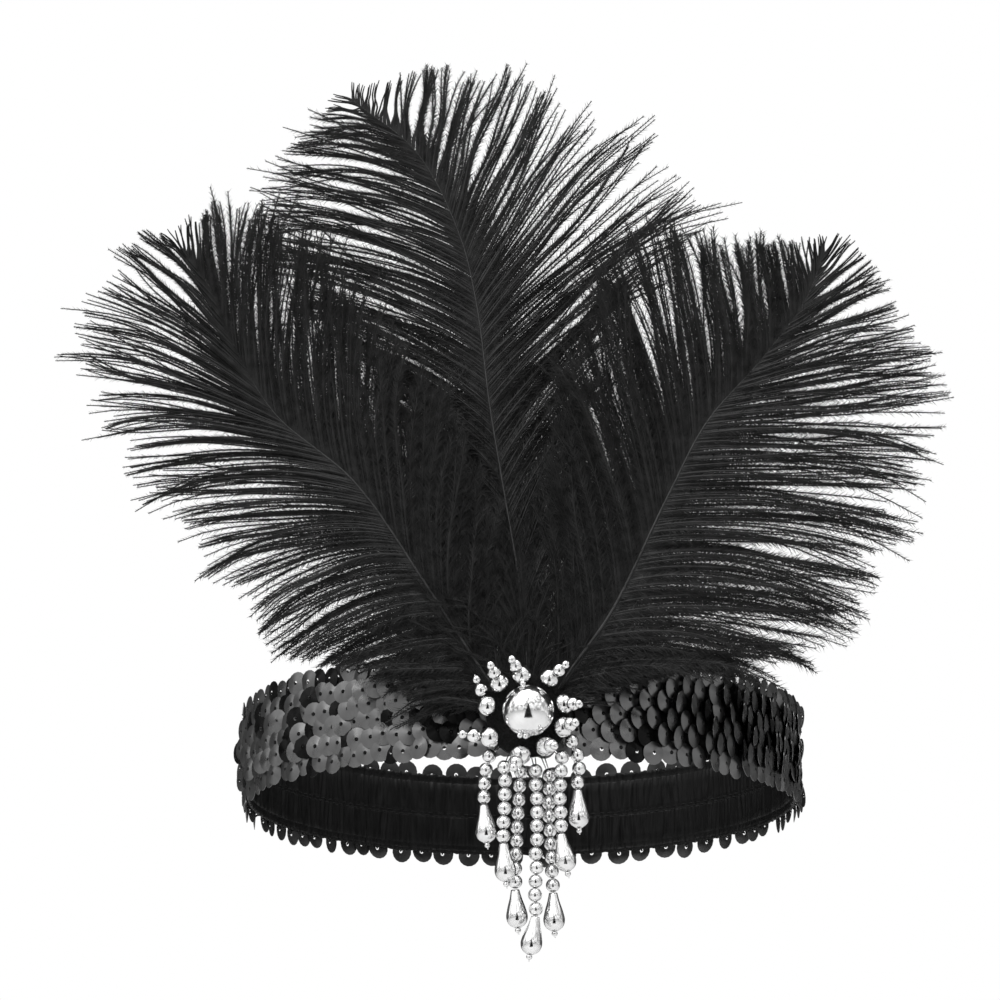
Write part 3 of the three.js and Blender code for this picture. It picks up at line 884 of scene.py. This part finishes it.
def down_lines(path, fan, rng):
    """Short soft barbs that fan out round the foot of a plume."""
    root, heading = along_path(path, rng.uniform(*DOWN_SHARES, DOWN_BARBS))
    angle = np.radians(fan[0] + (fan[1] - fan[0]) * rng.random(DOWN_BARBS) ** DOWN_CROWDING)
    across = np.cross(heading, (0, 1, 0))
    toward = np.cos(angle)[:, None] * heading + np.sin(angle)[:, None] * across
    length = rng.uniform(*DOWN_LENGTHS, DOWN_BARBS)[:, None]
    tip = root + toward * length
    tip[:, 1] -= rng.uniform(*DOWN_FORWARD, DOWN_BARBS)
    bend = root + (toward + heading) * DOWN_BEND * length
    return bent_lines(root, bend, tip)[:, ::2]


def barb_frames(lines):
    """Unit vectors along each barb, across it in the vane, and through the vane."""
    along = unit(np.gradient(lines, axis=1))
    across = unit(np.cross(along, (0, 1, 0)))
    return along, across, np.cross(along, across)


def barb_sizes(lines, shares):
    """Half the barbs' width at shares of their length, and how long their barbules are there.

    Short barbs have shorter barbules.
    """
    length = np.linalg.norm(np.diff(lines, axis=1), axis=2).sum(axis=1)
    scale = np.minimum(1, length / FULL_BARB_LENGTH)[:, None]
    row_share, half_width, barbule = np.array(BARB_ROWS).T
    half_widths = np.broadcast_to(np.interp(shares, row_share, half_width), (len(lines), len(shares)))
    return half_widths, scale ** 2 * np.interp(shares, row_share, barbule)


def barb_bars(lines):
    """The barbs as flat four-sided bars, ridged along the middle and narrow at the tip, in triangles."""
    picked = np.linspace(0, lines.shape[1] - 1, BARB_STEPS + 1).astype(int)
    _, across, through = (part[:, picked] for part in barb_frames(lines))
    half_width, _ = barb_sizes(lines, picked / picked[-1])
    ridge = np.minimum(BARB_RIDGE, half_width)[..., None] * through
    edge = half_width[..., None] * across
    points = lines[:, picked, None] + np.stack([edge, ridge, -edge, -ridge], axis=2)
    barb, step, side = np.indices((len(lines), BARB_STEPS, 4))
    here = (barb * (BARB_STEPS + 1) + step) * 4
    ahead = here + 4
    beside = (side + 1) % 4
    lower = np.stack([here + side, here + beside, ahead + beside], axis=-1)
    upper = np.stack([here + side, ahead + beside, ahead + side], axis=-1)
    return points.reshape(-1, 3), np.concatenate([lower.reshape(-1, 3), upper.reshape(-1, 3)])


def barbules(lines, fluff, way, rng):
    """Fine pointed barbules along one edge of every barb, with their feet inside the barb."""
    along, across, through = (part[:, :-1] for part in barb_frames(lines))
    each = along.shape[:2]
    half_width, length = barb_sizes(lines, np.linspace(0, 1, each[1], endpoint=False))
    foot = lines[:, :-1] + way * BARBULE_FOOT * half_width[..., None] * across
    lean = rng.normal(0, BARB_LEAN, (len(lines), 1)) + rng.normal(0, BARBULE_LEAN, each)
    side = np.cos(lean)[..., None] * across + np.sin(lean)[..., None] * through
    fold = 1 - BARBULE_FOLD * np.linspace(0, 1, each[1])
    angle = np.radians(rng.uniform(*BARBULE_ANGLES, each) * fold)[..., None]
    reach = (fluff[:, None] * length * rng.uniform(*BARBULE_REACH, each))[..., None]
    tip = foot + reach * (np.cos(angle) * along + way * np.sin(angle) * side)
    width = BARBULE_WIDTH * np.minimum(1, reach / FULL_BARBULE_LENGTH) / np.sin(angle)
    points = np.stack([foot, foot + width * along, tip], axis=2).reshape(-1, 3)
    return points, np.arange(len(points)).reshape(-1, 3)


def barbs(lines, fluff, rng):
    return join([barb_bars(lines), barbules(lines, fluff, -1, rng), barbules(lines, fluff, 1, rng)])


def add_plume(plume, number, barb_finish, shaft_finish):
    rows = [(x, -QUILL_DEPTH - forward, z) for x, z, forward in plume["shaft"]]
    path = smooth_path(rows, SHAFT_STEPS)
    node = plume["node"]
    taper = np.linspace(1, 0, SHAFT_STEPS) ** SHAFT_TAPER
    radii = SHAFT_TIP_RADIUS + (QUILL_RADIUS - SHAFT_TIP_RADIUS) * taper
    add_piece(f"{node}_shaft", tube(path, radii, SHAFT_SIDES), shaft_finish, "feather", node)
    for place, vane in enumerate(plume["vanes"]):
        rng = np.random.default_rng(SEED + 10 * (number + 1) + place)
        shape = barbs(*barb_lines(path, vane, rng), rng)
        add_piece(f"{node}_{vane['side']}_barbs", shape, barb_finish, "feather", node, smooth=False)
    rng = np.random.default_rng(SEED + 100 + number)
    shape = barbs(down_lines(path, plume["down"], rng), np.ones(DOWN_BARBS), rng)
    add_piece(f"{node}_down", shape, barb_finish, "feather", node, smooth=False)


def drilled_bead(radius, hole=BEAD_HOLE, sides=24, rings=14):
    """A round bead with a hole along its Z axis."""
    ends = math.asin(hole / radius)
    turn = np.linspace(ends, math.pi - ends, rings)
    outside = np.column_stack([radius * np.sin(turn), -radius * np.cos(turn)])
    half = radius * math.cos(ends)
    lip = 0.25 * hole
    inside = np.array([(hole - lip, half - lip), (hole - lip, lip - half)])
    return lathe(np.vstack([outside, inside]), sides)


def seed_bead(radius):
    return drilled_bead(radius, SEED_BEAD_HOLE, 16, 10)


def thread(route):
    """A thin thread along a route's points."""
    return tube(route, np.full(len(route), THREAD_RADIUS), THREAD_SIDES)


def front_direction(heading, rise):
    """A unit direction seen from the front at a heading, turned towards the viewer by a rise."""
    turn, lift = math.radians(heading), math.radians(rise)
    flat = math.cos(lift)
    return np.array([math.cos(turn) * flat, -math.sin(lift), math.sin(turn) * flat])


def centre_ball():
    """The large ball, with the seed beads at the two ends of its thread."""
    middle = np.array([0, -BALL_DEPTH, BROOCH_Z])
    shapes = [moved(drilled_bead(BALL_RADIUS, BALL_HOLE, 64, 40), middle)]
    for direction in SEED_BEADS:
        toward = unit(np.array(direction, float))
        place = middle + toward * (BALL_RADIUS + SEED_BEAD_SEAT)
        shapes.append(moved(seed_bead(SEED_BEAD_RADIUS), place, toward))
    return join(shapes)


def ray_stack(polar, distance, heading, rise):
    """A short stack of three beads, each smaller than the last, on its thread."""
    start = np.array([0, -RAY_DEPTH, BROOCH_Z]) + front_direction(polar, 0) * distance
    toward = front_direction(heading, rise)
    shapes = []
    reach = 0
    for number, radius in enumerate(RAY_BEAD_RADII):
        reach += radius if number else 0
        bead = drilled_bead(radius, RAY_HOLE_SHARE * radius)
        shapes.append(moved(bead, start + toward * reach, toward))
        reach += radius
    steps = np.linspace(-RAY_BEAD_RADII[0], reach + THREAD_END, 6)[:, None]
    shapes.append(thread(start + toward * steps))
    return join(shapes)


def sway(x, lean, bow, share):
    return x + lean * share + bow * math.sin(math.pi * share)


def bead_strand(beads, x, z, forward, lean, bow, rng):
    """A string of round beads that hangs from the rim of the base disc by its two threads."""
    places = []
    shapes = []
    for number in range(beads):
        aside = sway(x, lean, bow, number / (beads - 1))
        place = np.array([aside, -BASE_DEPTH - forward, z - number * BEAD_PITCH])
        jitter = rng.normal(0, BEAD_JITTER)
        axis = (rng.normal(0, BEAD_TILT), rng.normal(0, BEAD_TILT), 1)
        places.append(place)
        shapes.append(moved(drilled_bead(BEAD_RADIUS), place + jitter, axis))
    rim = np.array([x, 0, z - BROOCH_Z])
    rim = rim / np.linalg.norm(rim) * (BASE_RADIUS + GAP) + np.array([0, -BASE_DEPTH, BROOCH_Z])
    for aside in THREADS_ASIDE:
        shift = np.array([aside, 0, 0])
        shapes.append(thread(np.vstack([rim + 2 * shift, places[0] + shift, places[-1] + shift])))
    return join(shapes)


def teardrop(beads, x, z, forward, lean, bow, tilt):
    """The drop at a strand's end, with the seed bead that stops it on the thread."""
    rows = np.array([(radius, 0, -down) for down, radius in DROP_PROFILE], float)
    outside = smooth_path(rows, DROP_STEPS)[:, (0, 2)]
    bottom = outside[-1, 1]
    inside = np.array([(DROP_HOLE, bottom + DROP_LIP), (DROP_HOLE, -DROP_LIP)])
    drop = lathe(np.vstack([outside, inside])[::-1], DROP_SIDES)
    stopper = moved(seed_bead(STOPPER_RADIUS), (0, 0, bottom - STOPPER_PLACE))
    knot = thread(np.array([(0, 0, -0.5), (0, 0, bottom), (0.1, 0, bottom - 2)]))
    top_z = z - (beads - 1) * BEAD_PITCH - BEAD_RADIUS - GAP
    top = (sway(x, lean, bow, 1), -BASE_DEPTH - forward, top_z)
    turn = math.radians(tilt)
    return moved(join([drop, stopper, knot]), top, (-math.sin(turn), 0, math.cos(turn)))


def add_band():
    finish = elastic_material()
    band = add_piece("elastic_gathers", gathered_elastic(), finish, "elastic", "elastic_band")
    black_thread = thread_material()
    add_piece("elastic_threads", shirring_threads(), black_thread, "elastic", "elastic_band")
    places = sequin_places()
    add_piece("sequin_stitches", sequin_stitches(places), black_thread, "sequin", "sequin_rows")
    discs = add_piece("sequin_discs", sequin_cover(places), sequin_material(), "sequin", "sequin_rows")
    discs.data.set_sharp_from_angle(angle=math.radians(SEQUIN_SHARP_ANGLE))
    discs.data.materials.append(sequin_back_material())
    # The painted-shade finish, darker and less shiny, for a share of the discs
    discs.data.materials.append(painted_shade_sequin_material())
    discs.data.polygons.foreach_set("material_index", sequin_finishes())


def add_plumes():
    barb_finish, shaft_finish = feather_material(), shaft_material()
    for number, plume in enumerate(PLUMES):
        add_plume(plume, number, barb_finish, shaft_finish)


def add_brooch():
    silver = silver_material()
    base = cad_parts["brooch_base"]
    base.data.materials.clear()
    base.data.materials.append(felt_material())
    add_piece("brooch_ball", centre_ball(), silver, "silver_bead", "centre_ball")
    for number, row in enumerate(RAYS, 1):
        add_piece(f"brooch_ray_{number}", ray_stack(*row), silver, "silver_bead", f"ray_{number}")
    rng = np.random.default_rng(SEED + 2)
    for number, (*row, tilt) in enumerate(STRANDS, 1):
        beads = bead_strand(*row, rng)
        add_piece(f"fringe_strand_{number}", beads, silver, "silver_bead", f"strand_{number}")
        drop = teardrop(*row, tilt)
        add_piece(f"fringe_drop_{number}", drop, silver, "silver_bead", f"drop_{number}")


def add_camera():
    lens = bpy.data.cameras.new("photo_camera")
    lens.angle = math.radians(CAMERA_ANGLE)
    camera = bpy.data.objects.new("photo_camera", lens)
    camera.location = Vector(CAMERA_PLACE) * MM
    camera.rotation_euler = (math.radians(90 + CAMERA_PITCH), 0, math.radians(CAMERA_YAW))
    bpy.context.scene.collection.objects.link(camera)
    bpy.context.scene.camera = camera


def stage_mesh(name, corners, material):
    """One flat face of the stage."""
    mesh = bpy.data.meshes.new(name)
    mesh.from_pydata([Vector(corner) * MM for corner in corners], [], [range(len(corners))])
    mesh.materials.append(material)
    made = bpy.data.objects.new(name, mesh)
    bpy.context.scene.collection.objects.link(made)
    return made


def add_floor():
    pale, tree, shader = new_material("pale_floor", Roughness=0.9)
    grey_ramp(tree, noise(tree, 3), shader.inputs["Base Color"], 0.8, 0.84)
    quarters = ((-1, -1), (1, -1), (1, 1), (-1, 1))
    stage_mesh("floor", [(x * FLOOR_REACH, y * FLOOR_REACH, FLOOR_Z) for x, y in quarters], pale)


def add_flag():
    """A dark card in front of the headband that shows only as the dark wedge in the silver."""
    dark, _, _ = new_material("dark_card", Base_Color=(0.01, 0.01, 0.01, 1), Roughness=1)
    card = stage_mesh("flag", FLAG_CORNERS, dark)
    card.visible_camera = False
    card.visible_diffuse = False
    card.visible_shadow = False


def add_world():
    """White to the camera. All else sees a studio that is bright in front and above, dark behind."""
    world = bpy.data.worlds.new("studio")
    world.use_nodes = True
    bpy.context.scene.world = world
    tree = world.node_tree
    tree.nodes.clear()
    place = tree.nodes.new("ShaderNodeTexCoord")
    parts = tree.nodes.new("ShaderNodeSeparateXYZ")
    tree.links.new(place.outputs["Generated"], parts.inputs["Vector"])
    depth = map_range(tree, parts.outputs["Y"], (0.05, 0.35), DEPTH_LEVELS)
    height = map_range(tree, parts.outputs["Z"], (-0.3, 0.6), HEIGHT_LEVELS)
    panels = tree.nodes.new("ShaderNodeTexNoise")
    panels.inputs["Scale"].default_value = PANEL_SCALE
    panels.inputs["Detail"].default_value = 1
    tree.links.new(place.outputs["Generated"], panels.inputs["Vector"])
    patches = map_range(tree, panels.outputs["Fac"], (0.4, 0.58), PANEL_LEVELS)
    level = multiply(tree, multiply(tree, depth, height), patches)
    studio = tree.nodes.new("ShaderNodeBackground")
    studio.inputs["Color"].default_value = (1, 1, 1, 1)
    tree.links.new(level, studio.inputs["Strength"])
    paper = tree.nodes.new("ShaderNodeBackground")
    paper.inputs["Color"].default_value = (1, 1, 1, 1)
    light_path = tree.nodes.new("ShaderNodeLightPath")
    mix = tree.nodes.new("ShaderNodeMixShader")
    output = tree.nodes.new("ShaderNodeOutputWorld")
    tree.links.new(light_path.outputs["Is Camera Ray"], mix.inputs["Fac"])
    tree.links.new(studio.outputs["Background"], mix.inputs[1])
    tree.links.new(paper.outputs["Background"], mix.inputs[2])
    tree.links.new(mix.outputs["Shader"], output.inputs["Surface"])


def map_range(tree, source, given, wanted):
    node = tree.nodes.new("ShaderNodeMapRange")
    node.interpolation_type = "SMOOTHSTEP"
    node.inputs["From Min"].default_value, node.inputs["From Max"].default_value = given
    node.inputs["To Min"].default_value, node.inputs["To Max"].default_value = wanted
    tree.links.new(source, node.inputs["Value"])
    return node.outputs["Result"]


def multiply(tree, one, other):
    node = tree.nodes.new("ShaderNodeMath")
    node.operation = "MULTIPLY"
    tree.links.new(one, node.inputs[0])
    tree.links.new(other, node.inputs[1])
    return node.outputs["Value"]


def add_light(name, place, aim, size, power):
    lamp = bpy.data.lights.new(name, "AREA")
    lamp.size = size * MM
    lamp.energy = power
    light = bpy.data.objects.new(name, lamp)
    light.location = Vector(place) * MM
    light.rotation_euler = (Vector(aim) - Vector(place)).to_track_quat("-Z", "Y").to_euler()
    bpy.context.scene.collection.objects.link(light)


def write_sizes():
    bpy.context.view_layer.update()


add_camera()
add_floor()
add_flag()
add_world()
for light_name, light_row in LIGHTS.items():
    add_light(light_name, *light_row)
bpy.context.scene.view_settings.view_transform = "Standard"
add_band()
add_plumes()
add_brooch()
write_sizes()
